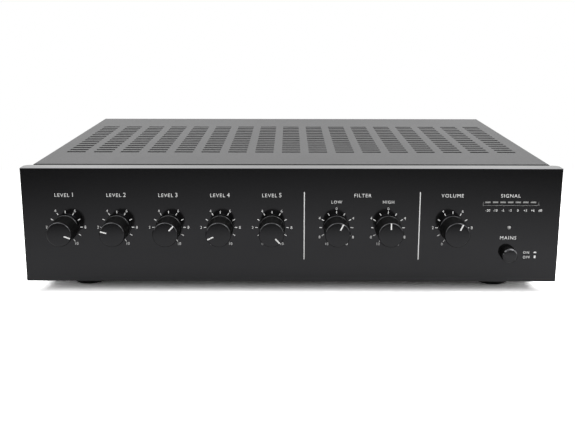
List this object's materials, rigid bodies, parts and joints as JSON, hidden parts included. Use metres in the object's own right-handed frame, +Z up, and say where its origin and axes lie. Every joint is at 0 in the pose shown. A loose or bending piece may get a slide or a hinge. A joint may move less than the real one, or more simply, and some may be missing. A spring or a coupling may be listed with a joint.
{
  "type": "mixer amplifier",
  "caption": "Desk-top mixer amplifier: a low black case with a vented cover, a front row of turning knobs, a meter, a power button and rear sockets.",
  "frame": {"origin": "on the floor, under the middle of the whole part's box", "axes": "+X to the right seen from the front, +Y to the rear, +Z up"},
  "size_m": [0.42, 0.338, 0.101],
  "materials": {
    "panel_paint": "satin black paint on cast metal",
    "cover_paint": "fine-textured black paint",
    "rear_paint": "fine-textured black paint",
    "plated_steel": "zinc-plated sheet",
    "screw_steel": "plated",
    "black_screw": "blackened steel",
    "knob_plastic": "satin black moulding",
    "button_plastic": "satin black moulding",
    "shaft_metal": "turned",
    "white_plastic": "natural moulding",
    "black_plastic": "black moulding",
    "rubber": "matt black",
    "circuit_board": "green lacquer",
    "lamp_lens": "frosted, unlit",
    "brass": "plated brass",
    "ribbon": "grey flat cable",
    "capacitor_sleeve": "shrunk sleeve",
    "heatsink_metal": "black anodised",
    "lamination_steel": "varnished laminations",
    "winding": "taped copper winding"
  },
  "bodies": {
    "cabinet": {"front_panel": "panel_paint", "front_panel_screws": "screw_steel", "chassis_tray": "plated_steel", "rear_panel": "rear_paint", "rear_panel_screws": "black_screw", "top_cover": "cover_paint", "cover_screws": "black_screw", "rubber_feet": "rubber", "foot_screws": "screw_steel", "potentiometers": "plated_steel", "potentiometer_nuts": "screw_steel", "control_board": "circuit_board", "meter_board": "circuit_board", "meter_board_screws": "screw_steel", "meter_lights": "lamp_lens", "power_lamp": "lamp_lens", "power_switch": "black_plastic", "switch_screws": "screw_steel", "main_board": "circuit_board", "board_standoffs": "brass", "board_screws": "screw_steel", "ribbon_cable": "ribbon", "filter_capacitors": "capacitor_sleeve", "heatsink": "heatsink_metal", "heatsink_screws": "screw_steel", "power_transistors": "black_plastic", "power_transformer_core": "lamination_steel", "power_transformer_coil": "winding", "power_transformer_frame": "plated_steel", "output_transformer_core": "lamination_steel", "output_transformer_coil": "winding", "output_transformer_frame": "plated_steel", "transformer_screws": "screw_steel", "input_jacks": "black_plastic", "jack_nuts": "screw_steel", "mains_inlet": "black_plastic", "inlet_pins": "screw_steel", "speaker_terminals": "black_plastic", "speaker_terminal_screws": "brass", "fuse_holder": "black_plastic", "fuse_cap": "black_plastic", "earth_screw": "screw_steel"},
    "dial_input_1": {"knob_input_1": "knob_plastic", "shaft_input_1": "shaft_metal"},
    "dial_input_2": {"knob_input_2": "knob_plastic", "shaft_input_2": "shaft_metal"},
    "dial_input_3": {"knob_input_3": "knob_plastic", "shaft_input_3": "shaft_metal"},
    "dial_input_4": {"knob_input_4": "knob_plastic", "shaft_input_4": "shaft_metal"},
    "dial_input_5": {"knob_input_5": "knob_plastic", "shaft_input_5": "shaft_metal"},
    "dial_bass": {"knob_bass": "knob_plastic", "shaft_bass": "shaft_metal"},
    "dial_treble": {"knob_treble": "knob_plastic", "shaft_treble": "shaft_metal"},
    "dial_master": {"knob_master": "knob_plastic", "shaft_master": "shaft_metal"},
    "button": {"power_button": "button_plastic", "switch_plunger": "white_plastic"}
  },
  "joints": [
    {"name": "turn_input_1", "type": "hinge", "parent": "cabinet", "child": "dial_input_1", "pos_m": [-0.1766, -0.145, 0.054], "axis": [0, 1, 0], "range_deg": [-261, 39]},
    {"name": "turn_input_2", "type": "hinge", "parent": "cabinet", "child": "dial_input_2", "pos_m": [-0.1362, -0.145, 0.054], "axis": [0, 1, 0], "range_deg": [-74, 226]},
    {"name": "turn_input_3", "type": "hinge", "parent": "cabinet", "child": "dial_input_3", "pos_m": [-0.0958, -0.145, 0.054], "axis": [0, 1, 0], "range_deg": [-194, 106]},
    {"name": "turn_input_4", "type": "hinge", "parent": "cabinet", "child": "dial_input_4", "pos_m": [-0.0554, -0.145, 0.054], "axis": [0, 1, 0], "range_deg": [-35, 265]},
    {"name": "turn_input_5", "type": "hinge", "parent": "cabinet", "child": "dial_input_5", "pos_m": [-0.015, -0.145, 0.054], "axis": [0, 1, 0], "range_deg": [-287, 13]},
    {"name": "turn_bass", "type": "hinge", "parent": "cabinet", "child": "dial_bass", "pos_m": [0.0354, -0.145, 0.054], "axis": [0, 1, 0], "range_deg": [-178, 122]},
    {"name": "turn_treble", "type": "hinge", "parent": "cabinet", "child": "dial_treble", "pos_m": [0.0758, -0.145, 0.054], "axis": [0, 1, 0], "range_deg": [-150, 150]},
    {"name": "turn_master", "type": "hinge", "parent": "cabinet", "child": "dial_master", "pos_m": [0.1262, -0.145, 0.054], "axis": [0, 1, 0], "range_deg": [-177, 123]},
    {"name": "press_power", "type": "slide", "parent": "cabinet", "child": "button", "axis": [0, 1, 0], "range_m": [0, 0.004], "stiffness_N_per_m": 300, "springref_m": -0.004}
  ]
}
